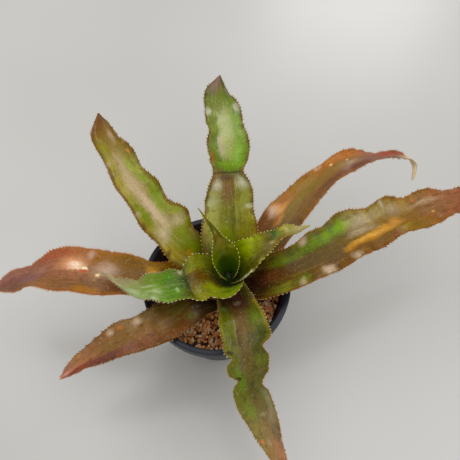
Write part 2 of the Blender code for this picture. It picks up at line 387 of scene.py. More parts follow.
def leafPaint(name, look, under):
    made, start, shader = newMaterial(name)
    uv = start.node("ShaderNodeUVMap", {"uv_map": "UVMap"}, {})
    side = (uv.node("ShaderNodeSeparateXYZ", {}, {0: uv}, 0) * 2.0 - 1.0) * (1 / bladeShare)
    along = uv.node("ShaderNodeSeparateXYZ", {}, {0: uv}, 1)

    def shifted(sideways, lengthways):
        return start.node("ShaderNodeCombineXYZ", {}, {0: sideways, 1: lengthways})

    # the same place in millimetres, so that marks keep their size on every leaf
    spot = start.node("ShaderNodeCombineXYZ", {}, {
        0: side * look["halfWidth"], 1: along * look["length"], 2: look["seed"] * 7.3})
    fibre = spot.stretch(0.9, 0.035, 1.0).noise(1.0, 4.0, 0.6)
    thread = spot.stretch(2.6, 0.09, 1.0).noise(1.0, 2.0, 0.5)
    mottle = spot.stretch(0.32, 0.14, 1.0).noise(1.0, 4.0, 0.65)
    cloud = spot.stretch(0.1, 0.05, 1.0).noise(1.0, 2.0, 0.5)
    grain = spot.stretch(1.0, 0.7, 1.0).noise(0.9, 3.0, 0.65)
    rippleShadeNoise = spot.stretch(0.1, 0.15, 1.0).noise(1.0, 2.0, 0.5)
    speck = spot.noise(1.7, 1.0, 0.4)
    fleck = spot.stretch(1.0, 0.8, 1.0).noise(0.62, 0.0, 0.5).rise(0.75, 0.79)
    # each of these is 0 on average, and sets a border wandering
    fibreDrift, threadDrift, mottleDrift = fibre - 0.5, thread - 0.5, mottle - 0.5
    cloudDrift, grainDrift = cloud - 0.5, grain - 0.5
    gloss = mottle * 0.22 + 0.03
    slid = along + cloudDrift * 0.08 + mottleDrift * 0.05
    if under:
        colour = slid.ramp(look["under"]).into(paint(look["underLine"]), fibre.rise(0.48, 0.7) * 0.6)
        scurf = look["scurfUnder"]
    else:
        bent = side + mottleDrift * 0.9 + fibreDrift * 0.5
        colour = slid.ramp(look["middle"])
        colour = colour.into(slid.ramp(look["leftTones"]), bent.rise(0.1, 0.6))
        colour = colour.into(slid.ramp(look["rightTones"]), (bent * -1.0).rise(0.1, 0.6))
        scurf = look["scurf"]
    colour = colour.into(paint(look["dark"]), mottle.rise(0.5, 0.68) * look["darkShare"])
    colour = colour.into(paint(look["light"]), (1.0 - fibre).rise(0.5, 0.7) * look["lightShare"])
    edgeAt = look["edgeAt"]
    rim = (abs(side) + mottleDrift * 0.6 + threadDrift * 0.3).rise(edgeAt, edgeAt + 0.2)
    colour = colour.into(along.ramp(look["edgeTones"]), rim * look["edgeShare"])
    if not under:
        ragged = mottleDrift * 0.4 + fibreDrift * 0.6
        smooth = shifted(side + mottleDrift * 0.5, along + cloudDrift * 0.04)
        soft = shifted(side + mottleDrift * 0.35 + fibreDrift * 0.2, along + cloudDrift * 0.06)
        crisp = shifted(side + grainDrift * 0.12, along)
        for place, lean, run, reach, tone, share in look["patches"]:
            if run > 0.02:
                where = spotMask(soft, ragged, place, lean, run, reach, 0.1, 1.35)
            else:
                where = spotMask(crisp, grainDrift * 0.5, place, lean, run, reach)
            colour = colour.into(paint(tone), where * share)
        # painted highlights: the pale sheen colour is mixed into the base colour, with a little real coat
        # gloss added under them
        for place, lean, run, reach, share in look["paintedSheens"]:
            glow = spotMask(smooth, fibreDrift * 0.4, place, lean, run * 1.45, reach * 1.45, 0.0, 1.15)
            glow = glow * (fibre + 0.4)
            colour = colour.into(paint(look["sheen"]), glow * (share * 0.8))
            gloss = gloss + glow * 0.4
    # painted shade and painted light in soft patches towards the margins, for the ripples' troughs and
    # crests; then fine grain, light hair lines, then minute silvery scales
    rippleShadeShare = (abs(side) + 0.2) * look["rippleShading"]
    colour = colour.into((0.58, 0.55, 0.45, 1.0), rippleShadeNoise.rise(0.5, 0.66) * rippleShadeShare, "MULTIPLY")
    colour = colour.into((1.4, 1.36, 1.25, 1.0), (1.0 - rippleShadeNoise).rise(0.5, 0.66) * rippleShadeShare, "MULTIPLY")
    colour = colour.into((0.6, 0.58, 0.5, 1.0), grain.rise(0.5, 0.68) * look["graining"], "MULTIPLY")
    colour = colour.into((1.35, 1.32, 1.2, 1.0), (1.0 - grain).rise(0.52, 0.7) * look["graining"], "MULTIPLY")
    colour = colour.into(paint(look["light"]), thread.rise(0.58, 0.72) * look["lineShare"])
    scales = speck.rise(0.66, 0.74) * scurf
    if not under:
        for low, high, share in look["bloom"]:
            scales = scales + along.rise(low, high) * (speck.rise(0.5, 0.66) * 0.7 + 0.3) * share
    colour = colour.into(paint(look["scale"]), scales)
    colour = colour.into(paint(look["fleckTone"]), fleck * look["flecks"])
    colour = colour.into(paint(look["spineFoot"]), abs(side).rise(0.965, 1.0) * 0.6)
    colour = colour.into(paint(look["spineTip"]), abs(side).rise(1.01, 1.04) * 0.9)
    colour = colour.node("ShaderNodeHueSaturation", {}, {
        "Saturation": look["fullness"], "Value": look["lift"], "Color": colour})
    feed(colour, shader, "Base Color")
    feed(mottle * 0.25 + scales * 0.25 + look["rough"], shader, "Roughness")
    relief = fibre * 0.6 + thread * 0.4 + grain * 0.4 + mottle * 0.8
    bumpInto(shader, relief, look["reliefDepth"], look["reliefStrength"])
    feed(gloss, shader, "Coat Weight")
    shader.inputs["Coat Roughness"].default_value = look["coatRough"]
    shader.inputs["Specular IOR Level"].default_value = look["specular"]
    return made


def finishLeaf(leaf, node, look):
    look = {**leafFinish, **look}
    leaf.data.materials.clear()
    leaf.data.materials.append(leafPaint(leaf.name + "_upper", look, False))
    leaf.data.materials.append(leafPaint(leaf.name + "_lower", look, True))
    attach(leaf, "root")
    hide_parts(node)
    print("grown", leaf.name, len(leaf.data.polygons), "faces")


brownUnder = {
    "under": [(0.0, "4a4420"), (0.3, "6a5a38"), (0.7, "7a5a42"), (1.0, "865848")],
    "underLine": "a89a80",
}
greenUnder = {
    "under": [(0.0, "6a7030"), (0.35, "5f6d34"), (0.75, "66703e"), (1.0, "6c5a44")],
    "underLine": "b4bb9c",
}

southwestShape = {
    "azimuth": 210,
    "midrib": [(11, 4, 79), (26, -1, 88), (44, 5, 92), (67, 4, 94), (95, -1, 89), (118, -2, 80),
               (133, -3, 70)],
    "left": [13, 14, 14, 13, 14, 11, 11, 7, 4, 0.3],
    "right": [13, 12, 11, 13, 12, 13, 9, 8, 4, 0.3],
    "channel": [30, 25, 15, 12, 20, 30], "sheath": (0.1, 0.30),
    "rippleLeft": (5, 1.2, 0.2), "rippleRight": (4, 1.0, 0.6),
}
southwestLook = {
    **brownUnder, "seed": 1, "lift": 1.16, "fullness": 1.06, "rippleShading": 0.25, "length": 140,
    "middle": [(0.12, "2c1c04"), (0.26, "644a1c"), (0.45, "7c5628"), (0.66, "785830"), (0.82, "9c6a48"),
        (1.0, "c08474")],
    "leftTones": [(0.12, "2c2008"), (0.26, "6c4420"), (0.5, "744830"), (0.7, "683c34"), (0.84, "74382c"),
        (1.0, "9c5448")],
    "rightTones": [(0.15, "3c2c0c"), (0.3, "604c20"), (0.48, "7c6034"), (0.62, "7c5834"), (0.8, "8c6044"),
        (1.0, "ac7060")],
    "edgeTones": [(0.2, "3c2808"), (0.5, "6c4410"), (0.75, "7c4c20"), (1.0, "c08c70")],
    "edgeShare": 0.5, "spineFoot": "583c18", "spineTip": "b08858",
    "dark": "452a10", "light": "a07c48", "sheen": "d8c0a4", "darkShare": 0.4, "lightShare": 0.2,
    "patches": [
        (0.23, 0.5, 0.03, 0.3, "74782c", 0.6),
        (0.24, -0.4, 0.07, 0.3, "54501c", 0.6),
        (0.575, -0.65, 0.018, 0.14, "b06c24", 0.8),
        (0.7, 0.85, 0.1, 0.18, "60301c", 0.7),
        (0.86, 0.75, 0.06, 0.35, "8c3c2c", 0.75),
        (0.84, -0.75, 0.07, 0.2, "a07c44", 0.6),
        (0.95, 0.1, 0.04, 0.6, "cc9484", 0.7),
        (0.998, 0.0, 0.02, 1.2, "e4d0a0", 1.0),
    ],
    "paintedSheens": [(0.485, -0.68, 0.03, 0.25, 0.8), (0.63, -0.66, 0.02, 0.2, 0.7),
        (0.36, 0.1, 0.05, 0.3, 0.15)],
}
finishLeaf(growLeaf("southwestLeaf", southwestShape, 11), "leaf_southwest", southwestLook)

northeastShape = {
    "azimuth": 35,
    "midrib": [(10, 2, 81), (24, 4, 88), (57, 13, 97), (91, 22, 103), (125, 24, 104), (150, 16, 99),
        (171, 11, 91), (180, 1, 83), (174, -7, 75)],
    "left": [13, 14, 14, 16, 11, 10, 9, 7, 3, 1.5, 1.0],
    "right": [13, 14, 13, 12, 12, 9, 10, 4, 3, 1.5, 1.0],
    "channel": [30, 25, 15, 18, 25, 30], "sheath": (0.06, 0.22),
    "rippleLeft": (5, 1.5, 0.1), "rippleRight": (5, 1.2, 0.5),
    "scallop": 0.04, "waviness": 1.3, "crinkle": 0.3, "spine": 1.5,
}
northeastLook = {
    **brownUnder,
    "under": [(0.0, "4a4420"), (0.3, "6a5a38"), (0.7, "7a5a42"), (0.84, "a0746c"), (0.9, "e4c08c")],
    "seed": 2, "lift": 0.95, "fullness": 1.02, "rippleShading": 0.25, "length": 206,
    "middle": [(0.2, "4c3c10"), (0.32, "80601c"), (0.45, "846424"), (0.6, "88642c"), (0.72, "845c4c"),
        (0.82, "a06044"), (0.93, "d0b488")],
    "leftTones": [(0.2, "7c4810"), (0.3, "b47430"), (0.42, "a07424"), (0.52, "a86420"), (0.62, "bc7434"),
        (0.72, "98604c"), (0.82, "a85840")],
    "rightTones": [(0.2, "5c4414"), (0.35, "745018"), (0.5, "704424"), (0.65, "744838"), (0.8, "886458"),
        (0.95, "c0a888")],
    "edgeTones": [(0.2, "8c4c10"), (0.4, "9c5c18"), (0.6, "a86024"), (0.8, "8c4c3c"), (0.92, "e8d0a8")],
    "edgeShare": 0.55, "spineFoot": "845020", "spineTip": "d0a068",
    "dark": "5c3418", "light": "b88c50", "sheen": "e8ccb4", "darkShare": 0.3, "lightShare": 0.25,
    "patches": [
        (0.265, 0.22, 0.04, 0.16, "cc8c44", 0.8),
        (0.31, 0.45, 0.035, 0.2, "dc9848", 0.9),
        (0.35, 0.75, 0.04, 0.2, "b06c24", 0.6),
        (0.38, 0.1, 0.1, 0.22, "84741c", 0.7),
        (0.44, 0.55, 0.04, 0.3, "98782c", 0.6),
        (0.58, 0.05, 0.07, 0.2, "887428", 0.6),
        (0.56, 0.75, 0.04, 0.3, "c07c34", 0.6),
        (0.552, 0.45, 0.008, 0.1, "f0d8a0", 0.9),
        (0.615, 0.2, 0.006, 0.08, "e8c490", 0.8),
        (0.8, 0.5, 0.04, 0.6, "ac5040", 0.75),
        (0.98, 0.0, 0.1, 2.4, "f0d4a8", 1.0),
    ],
    "paintedSheens": [(0.275, 0.68, 0.03, 0.22, 0.8), (0.5, 0.9, 0.015, 0.2, 0.4), (0.62, -0.1, 0.05, 0.3, 0.15)],
}
finishLeaf(growLeaf("northeastLeaf", northeastShape, 12), "leaf_northeast", northeastLook)

westShape = {
    "azimuth": 180,
    "midrib": [(10, 0, 84), (34, -4, 96), (59, 0, 101), (92, -4, 101), (119, -7, 96), (142, -5, 87),
               (173, -1, 72)],
    "left": [13, 15, 18, 15, 18, 17, 16, 9, 7, 0.3],
    "right": [14, 9, 8.5, 13, 15, 16.5, 15, 8.5, 9.5, 0.3],
    "channel": [40, 25, 15, 15, 25, 30], "sheath": (0.06, 0.22),
    "rippleLeft": (5, 1.2, 0.4), "rippleRight": (3, 1.0, 0.1),
    "scallop": 0.03, "waviness": 1.2, "crinkle": 0.2, "spine": 1.7,
}
westLook = {
    **brownUnder, "seed": 3, "lift": 1.01, "fullness": 1.05, "rippleShading": 0.1, "length": 178,
    "middle": [(0.2, "50340c"), (0.38, "7c5820"), (0.48, "946c48"), (0.6, "a06c4c"), (0.72, "8c5c44"),
        (0.85, "7c5044"), (1.0, "845448")],
    "leftTones": [(0.2, "6c4418"), (0.38, "6c401c"), (0.5, "745030"), (0.6, "7c5434"), (0.75, "8c6038"),
        (0.92, "745040")],
    "rightTones": [(0.24, "8c6410"), (0.36, "7c5818"), (0.48, "94601c"), (0.6, "a4643c"),
        (0.75, "986450"), (0.92, "946458")],
    "edgeTones": [(0.2, "9c6c14"), (0.45, "a86c28"), (0.65, "a0602c"), (0.85, "a06c4c"), (1.0, "b07c64")],
    "edgeShare": 0.5, "spineFoot": "8c4c1c", "spineTip": "d09048",
    "dark": "603418", "light": "b88450", "sheen": "e0c4b0", "darkShare": 0.35, "lightShare": 0.25,
    "patches": [
        (0.27, -0.3, 0.035, 0.4, "c89420", 0.8),
        (0.52, 0.85, 0.07, 0.2, "ac701c", 0.7),
        (0.68, -0.8, 0.08, 0.25, "a45038", 0.6),
        (0.8, 0.15, 0.08, 0.35, "84585c", 0.7),
        (0.87, 0.55, 0.04, 0.3, "744838", 0.6),
        # painted highlight: the next two patches, salmon with a pale core
        (0.6, -0.25, 0.075, 0.4, "e4a478", 0.9),
        (0.585, -0.2, 0.045, 0.22, "ffe4c8", 0.95),
        (0.545, 0.03, 0.03, 0.1, "b84830", 0.75),
        (0.545, -0.08, 0.015, 0.09, "fff0c0", 1.0),
        (0.485, 0.17, 0.012, 0.08, "f4d898", 1.0),
        (0.62, 0.15, 0.06, 0.2, "90583c", 0.5),
    ],
    "paintedSheens": [(0.45, -0.1, 0.045, 0.35, 0.55), (0.53, -0.75, 0.02, 0.2, 0.5),
        (0.75, -0.2, 0.05, 0.2, 0.15)],
    "rough": 0.2,
}
finishLeaf(growLeaf("westLeaf", westShape, 13), "leaf_west", westLook)

eastShape = {
    "azimuth": 18,
    "midrib": [(9, -3, 86), (33, -8, 101), (65, -8, 108), (96, -4, 113), (129, -3, 115), (163, 3, 111),
               (217, 4, 98)],
    "left": [13, 14, 15, 20, 19, 18.5, 14, 9, 5, 0.3],
    "right": [13, 18, 17, 15, 15, 10, 13, 12, 7, 0.3],
    "channel": [40, 25, 15, 15, 25, 30], "sheath": (0.05, 0.20),
    "rippleLeft": (7, 1.2, 0.3), "rippleRight": (6, 1.5, 0.0),
    "spine": 1.5,
}
eastLook = {
    **brownUnder, "seed": 4, "lift": 0.96, "fullness": 1.15, "rough": 0.26, "flecks": 0.12, "rippleShading": 0.5,
    "length": 218,
    "middle": [(0.04, "281008"), (0.12, "543420"), (0.25, "584414"), (0.4, "6c5418"), (0.55, "80602c"),
        (0.7, "8c6448"), (0.85, "96604c")],
    "leftTones": [(0.08, "443410"), (0.2, "5c5c10"), (0.35, "5c6010"), (0.46, "8c7c44"), (0.6, "947844"),
        (0.72, "98684c"), (0.85, "986450")],
    "rightTones": [(0.05, "2c1404"), (0.15, "60501c"), (0.3, "684410"), (0.45, "744c14"), (0.6, "84601c"),
        (0.75, "8c5840"), (0.85, "985c48")],
    "edgeTones": [(0.08, "4c3008"), (0.25, "84581c"), (0.45, "7c4c14"), (0.65, "94602c"), (0.9, "a87058")],
    "edgeShare": 0.55, "spineFoot": "6c4418", "spineTip": "c8a070",
    "dark": "4c3008", "light": "a08c58", "sheen": "dcc8ac", "darkShare": 0.45, "lightShare": 0.3,
    "patches": [
        (0.07, -0.3, 0.05, 0.8, "2c1004", 0.85),
        (0.12, -0.1, 0.045, 0.35, "70442c", 0.6),
        (0.17, 0.44, 0.06, 0.26, "687c14", 0.8),
        (0.26, 0.5, 0.08, 0.22, "647c0c", 0.8),
        (0.345, 0.58, 0.075, 0.26, "6c8c14", 0.9),
        (0.385, 0.6, 0.04, 0.22, "74981c", 0.85),
        (0.145, -0.78, 0.03, 0.25, "707c28", 0.7),
        (0.21, -0.72, 0.035, 0.25, "707c20", 0.7),
        (0.4, -0.3, 0.045, 0.2, "c49050", 0.8),
        (0.46, -0.25, 0.05, 0.22, "cc9858", 0.9),
        (0.51, -0.12, 0.045, 0.24, "d09c5c", 0.9),
        (0.555, 0.04, 0.035, 0.24, "c8945c", 0.85),
        (0.45, -0.22, 0.06, 0.08, "e0b470", 0.5),
        (0.58, -0.55, 0.03, 0.3, "8c7424", 0.7),
        (0.53, -0.75, 0.02, 0.2, "8c5848", 0.7),
        (0.645, 0.7, 0.012, 0.1, "c07050", 0.7),
        (0.685, -0.28, 0.008, 0.08, "d8a868", 0.9),
    ],
    "paintedSheens": [(0.25, 0.88, 0.02, 0.2, 0.8), (0.45, 0.55, 0.05, 0.3, 0.5), (0.56, 0.55, 0.05, 0.25, 0.25),
        (0.68, 0.42, 0.06, 0.14, 0.5), (0.285, -0.8, 0.018, 0.25, 0.9), (0.38, -0.82, 0.018, 0.22, 0.85),
        (0.44, 0.15, 0.05, 0.1, 0.5), (0.53, 0.9, 0.01, 0.2, 0.7), (0.2, -0.85, 0.01, 0.2, 0.6)],
}
finishLeaf(growLeaf("eastLeaf", eastShape, 14), "leaf_east", eastLook)

northwestShape = {
    "azimuth": 127,
    "midrib": [(8, 0, 89), (22, 0, 99), (38, 11, 111), (69, 17, 123), (112, 15, 132), (147, 7, 136)],
    "left": [13, 15, 19, 15, 14, 12, 12, 10, 11, 0.3],
    "right": [14, 13, 10, 16, 14, 13.5, 12, 10.5, 6, 0.3],
    "channel": [50, 25, 20, 20, 25, 30], "sheath": (0.08, 0.24),
    "rippleLeft": (5, 1.2, 0.0), "rippleRight": (5, 1.5, 0.4),
}
northwestLook = {
    **greenUnder, "seed": 5, "lift": 1.03, "fullness": 1.1, "rippleShading": 0.35, "length": 158,
    "middle": [(0.1, "3c3c04"), (0.2, "6c7004"), (0.28, "7c8010"), (0.38, "988850"), (0.52, "a89068"),
        (0.72, "908048"), (0.9, "7c5c24"), (1.0, "6c4420")],
    "leftTones": [(0.1, "4c4404"), (0.24, "8c7c24"), (0.36, "8c8434"), (0.48, "7c8020"), (0.6, "9c9048"),
        (0.78, "88802c"), (0.93, "74481c")],
    "rightTones": [(0.1, "5c4c0c"), (0.24, "747010"), (0.36, "8c9040"), (0.5, "70801c"), (0.65, "88903c"),
        (0.8, "847034"), (0.93, "74501c")],
    "edgeTones": [(0.15, "5c4008"), (0.35, "74500c"), (0.6, "6c4c10"), (0.8, "74501c"), (1.0, "5c3818")],
    "edgeShare": 0.8, "edgeAt": 0.76, "spineFoot": "5c400c", "spineTip": "b08c50",
    "dark": "5c4c10", "light": "bcac80", "sheen": "d4bca0", "darkShare": 0.45, "lightShare": 0.3,
    "patches": [
        (0.2, -0.1, 0.05, 0.4, "748408", 0.85),
        (0.26, -0.3, 0.04, 0.3, "7c8c10", 0.8),
        (0.2, 0.3, 0.022, 0.2, "b08424", 0.8),
        (0.27, 0.88, 0.012, 0.25, "4c3408", 0.8),
        (0.44, 0.5, 0.05, 0.22, "74801c", 0.8),
        (0.5, -0.55, 0.07, 0.22, "708420", 0.85),
        (0.44, -0.3, 0.04, 0.15, "8ca040", 0.6),
        (0.69, -0.35, 0.05, 0.18, "909c3c", 0.8),
        (0.8, 0.4, 0.05, 0.3, "848028", 0.6),
        (0.75, -0.74, 0.018, 0.1, "d08c58", 0.8),
        (0.86, -0.75, 0.04, 0.2, "684818", 0.7),
        (0.97, 0.0, 0.05, 1.2, "684020", 0.7),
    ],
    "paintedSheens": [(0.335, 0.45, 0.035, 0.35, 0.7), (0.34, -0.5, 0.03, 0.3, 0.8), (0.4, 0.0, 0.06, 0.25, 0.75),
        (0.49, 0.02, 0.06, 0.25, 0.65), (0.6, 0.15, 0.06, 0.35, 0.5), (0.7, 0.05, 0.06, 0.3, 0.4),
        (0.86, -0.35, 0.035, 0.22, 0.45), (0.46, 0.85, 0.012, 0.2, 0.4), (0.73, 0.85, 0.01, 0.2, 0.5)],
}
finishLeaf(growLeaf("northwestLeaf", northwestShape, 15), "leaf_northwest", northwestLook)

southShape = {
    "azimuth": 285,
    "midrib": [(8, 2, 91), (29, 0, 102), (52, -4, 106), (71, -8, 103), (90, -2, 91), (110, 0, 77),
               (135, 7, 57)],
    "left": [12, 13, 18, 18, 16, 10, 8, 7, 4, 0.3],
    "right": [13, 13, 14, 12, 10, 13, 12, 7, 4, 0.3],
    "channel": [50, 25, 15, 15, 25, 30], "sheath": (0.08, 0.24),
    "rippleLeft": (5, 1.5, 0.7), "rippleRight": (5, 1.2, 0.2),
    "nips": [(0.33, 1, 5, 0.02), (0.51, 1, 4, 0.03), (0.385, -1, 4, 0.016), (0.46, -1, 5, 0.016)],
    "scallop": 0.04,
}
southLook = {
    **greenUnder, "seed": 6, "lift": 1.06, "fullness": 1.05, "flecks": 0.12, "length": 150,
    "middle": [(0.05, "40201c"), (0.13, "5c4024"), (0.22, "685028"), (0.35, "58481c"), (0.5, "585018"),
        (0.62, "6c5c2c"), (0.75, "8c7044"), (0.88, "b07c54")],
    "leftTones": [(0.08, "403810"), (0.2, "545c14"), (0.3, "404410"), (0.42, "544c18"), (0.55, "606028"),
        (0.7, "746040"), (0.88, "a87050")],
    "rightTones": [(0.08, "3c2810"), (0.2, "606414"), (0.32, "5c6014"), (0.46, "5c6014"), (0.6, "686820"),
        (0.72, "847434"), (0.88, "a87c48")],
    "edgeTones": [(0.08, "a08434"), (0.2, "98901c"), (0.35, "746010"), (0.5, "6c5c1c"), (0.7, "805c28"),
        (0.9, "b08450")],
    "edgeShare": 0.6, "spineFoot": "6c5420", "spineTip": "d0b880",
    "dark": "2c2804", "light": "8c8448", "sheen": "b8b088", "darkShare": 0.6, "lightShare": 0.2,
    "patches": [
        (0.09, 0.1, 0.045, 0.6, "40181c", 0.9),
        (0.13, 0.5, 0.02, 0.2, "44201c", 0.7),
        (0.2, 0.6, 0.03, 0.25, "647414", 0.6),
        (0.13, -0.75, 0.02, 0.2, "507038", 0.6),
        (0.25, -0.6, 0.05, 0.3, "687418", 0.5),
        (0.27, 0.75, 0.03, 0.2, "3c4808", 0.8),
        (0.38, 0.7, 0.035, 0.25, "5c6c14", 0.6),
        (0.47, -0.3, 0.05, 0.3, "5c8018", 0.75),
        (0.355, -0.75, 0.012, 0.3, "2c2004", 0.85),
        (0.455, -0.65, 0.009, 0.4, "2c2404", 0.9),
        (0.6, -0.5, 0.05, 0.25, "6c8424", 0.7),
        (0.66, 0.5, 0.05, 0.3, "948060", 0.6),
        (0.76, -0.72, 0.014, 0.13, "dc7c48", 0.85),
        (0.8, 0.3, 0.05, 0.4, "b07850", 0.6),
    ],
    "paintedSheens": [(0.09, 0.0, 0.014, 0.2, 0.45), (0.24, -0.3, 0.05, 0.06, 0.35),
        (0.78, -0.2, 0.02, 0.15, 0.6), (0.64, 0.0, 0.012, 0.2, 0.5), (0.58, 0.75, 0.05, 0.2, 0.4)],
    "bloom": [(0.5, 0.7, 0.15)], "scale": "c8b898",
}
finishLeaf(growLeaf("southLeaf", southShape, 16), "leaf_south", southLook)

northShape = {
    "azimuth": 93,
    "midrib": [(7, 0, 94), (33, -3, 117), (63, -3, 137), (93, -2, 150), (134, -1, 153)],
    "left": [12, 19, 20, 17, 12, 12, 12, 13, 11, 0.3],
    "right": [12, 19, 19, 17, 14, 15, 15, 12, 5, 0.3],
    "channel": [60, 30, 20, 20, 25, 35], "sheath": (0.08, 0.24),
    "rippleLeft": (4, 1.2, 0.5), "rippleRight": (5, 1.2, 0.1),
    "nips": [(0.485, 1, 1.4, 0.03), (0.485, -1, 2.4, 0.03), (0.68, 1, 2.4, 0.03)],
    "folds": [(0.482, 1.6, 0.018)],
    "spine": 1.5,
}
northLook = {
    **greenUnder, "seed": 7, "lift": 1.1, "fullness": 1.02, "flecks": 0.14, "length": 150,
    # the darkest stop at the base is painted shade from the rosette's shaded inside
    "middle": [(0.08, "343400"), (0.17, "6c6c00"), (0.3, "707008"), (0.42, "70501c"), (0.5, "6c8418"),
        (0.62, "a0a45c"), (0.75, "949c58"), (0.87, "646c18"), (0.97, "644c34")],
    "leftTones": [(0.1, "4c4400"), (0.2, "a09c48"), (0.35, "98984c"), (0.46, "70581c"), (0.53, "5c7418"),
        (0.68, "6c7c28"), (0.84, "647024"), (0.94, "786058")],
    "rightTones": [(0.1, "585404"), (0.22, "847c14"), (0.36, "8c8c30"), (0.47, "5c5c10"),
        (0.53, "6c8c18"), (0.68, "7c983c"), (0.84, "647818"), (0.95, "4c4c14")],
    "edgeTones": [(0.12, "8c5c20"), (0.35, "6c5010"), (0.55, "7c5414"), (0.75, "543c0c"), (0.9, "443008"),
        (1.0, "64443c")],
    "edgeShare": 0.75, "spineFoot": "4c3808", "spineTip": "b09854",
    "dark": "4c4c04", "light": "b8b488", "sheen": "d0ccb4", "darkShare": 0.4, "lightShare": 0.25,
    "patches": [
        (0.19, 0.1, 0.06, 0.4, "7c8800", 0.8),
        (0.25, -0.12, 0.1, 0.1, "545400", 0.7),
        (0.39, 0.05, 0.07, 0.25, "7c5c38", 0.7),
        # the next two dark bands are painted shade in the crease at the fold
        (0.46, 0.1, 0.018, 0.6, "4c3010", 0.8),
        (0.483, 0.0, 0.010, 1.4, "3c2c0c", 0.75),
        (0.515, -0.1, 0.028, 0.75, "709410", 0.85),
        (0.57, -0.5, 0.05, 0.3, "88b044", 0.8),
        # painted sheen: a pale beige patch across the centre
        (0.6, 0.25, 0.05, 0.18, "ac9878", 0.65),
        (0.7, 0.0, 0.08, 0.4, "a0ac68", 0.6),
        (0.56, 0.82, 0.045, 0.14, "8c5c14", 0.9),
        (0.88, -0.2, 0.05, 0.4, "5c7010", 0.7),
        (0.95, 0.6, 0.04, 0.4, "846858", 0.8),
        (0.95, -0.6, 0.04, 0.4, "443c10", 0.7),
    ],
    "paintedSheens": [(0.42, 0.6, 0.025, 0.25, 0.9), (0.35, 0.7, 0.03, 0.2, 0.4), (0.43, -0.65, 0.03, 0.25, 0.9),
        (0.32, -0.8, 0.012, 0.2, 0.6), (0.785, 0.85, 0.018, 0.2, 0.9), (0.79, -0.8, 0.022, 0.22, 0.9),
        (0.62, 0.25, 0.06, 0.2, 0.3), (0.7, -0.1, 0.07, 0.3, 0.2), (0.76, 0.2, 0.04, 0.25, 0.2)],
}
finishLeaf(growLeaf("northLeaf", northShape, 17), "leaf_north", northLook)

innerLeftShape = {
    "azimuth": 190,
    "midrib": [(6, 2, 97), (15, 3, 112), (28, 6, 120), (46, 7, 119), (67, 1, 113), (86, -16, 108)],
    "left": [17, 27, 26, 18, 14, 10, 7, 3, 1, 0.3],
    "right": [11, 16, 17, 12, 9, 10, 6, 4, 1, 0.3],
    "channel": [70, 50, 30, 25, 30, 30], "sheath": (0.1, 0.30),
    "rippleLeft": (6, 0.8, 0.1), "rippleRight": (6, 0.8, 0.5),
    "nips": [(0.26, 1, 5, 0.025), (0.36, -1, 2.5, 0.03)],
    "folds": [(0.33, 2.0, 0.03)],
    "spine": 1.1,
}
innerLeftLook = {
    **greenUnder, "seed": 8, "lift": 0.94, "fullness": 1.1, "flecks": 0.15, "rippleShading": 0.2, "length": 102,
    # the darker stops near 0.335 in these three ramps are painted shade at the fold
    "middle": [(0.05, "58500c"), (0.2, "604808"), (0.29, "6c4c1c"), (0.335, "34400c"), (0.42, "4c7014"),
        (0.55, "6c8c24"), (0.7, "7c8c40"), (0.85, "a09468")],
    "leftTones": [(0.05, "64701c"), (0.15, "788c20"), (0.28, "84802c"), (0.34, "4c540c"),
        (0.45, "5c8420"), (0.58, "84985c"), (0.7, "8ca468"), (0.85, "a89c74")],
    "rightTones": [(0.05, "606c08"), (0.15, "747810"), (0.28, "88882c"), (0.35, "4c3c14"),
        (0.45, "507c14"), (0.58, "64801c"), (0.7, "88884c"), (0.85, "a8906c")],
    "edgeTones": [(0.05, "a0a030"), (0.25, "989434"), (0.4, "7c8c3c"), (0.7, "a4a478"), (1.0, "b4a484")],
    "edgeShare": 0.4, "spineFoot": "6c6424", "spineTip": "dcd0a0",
    "dark": "34440c", "light": "9cb068", "sheen": "ccd4ac", "darkShare": 0.45, "lightShare": 0.3,
    "patches": [
        (0.2, 0.35, 0.06, 0.25, "909c30", 0.8),
        (0.24, -0.1, 0.05, 0.3, "64440c", 0.8),
        # painted shade: a dark band across the crease at the fold
        (0.335, 0.0, 0.012, 1.2, "24300a", 0.7),
        (0.43, -0.5, 0.04, 0.25, "4c8410", 0.85),
        (0.42, 0.5, 0.05, 0.3, "5c8424", 0.8),
    ],
    "paintedSheens": [(0.365, -0.85, 0.015, 0.22, 0.8), (0.55, 0.3, 0.05, 0.15, 0.7), (0.62, -0.1, 0.07, 0.08, 0.6),
        (0.55, 0.88, 0.03, 0.2, 0.8), (0.7, 0.5, 0.04, 0.3, 0.6), (0.41, 0.35, 0.012, 0.12, 0.7)],
    "scurf": 0.5, "bloom": [(0.5, 0.85, 0.4)], "scale": "ccc8a4",
}
finishLeaf(growLeaf("innerLeftLeaf", innerLeftShape, 18), "leaf_inner_left", innerLeftLook)

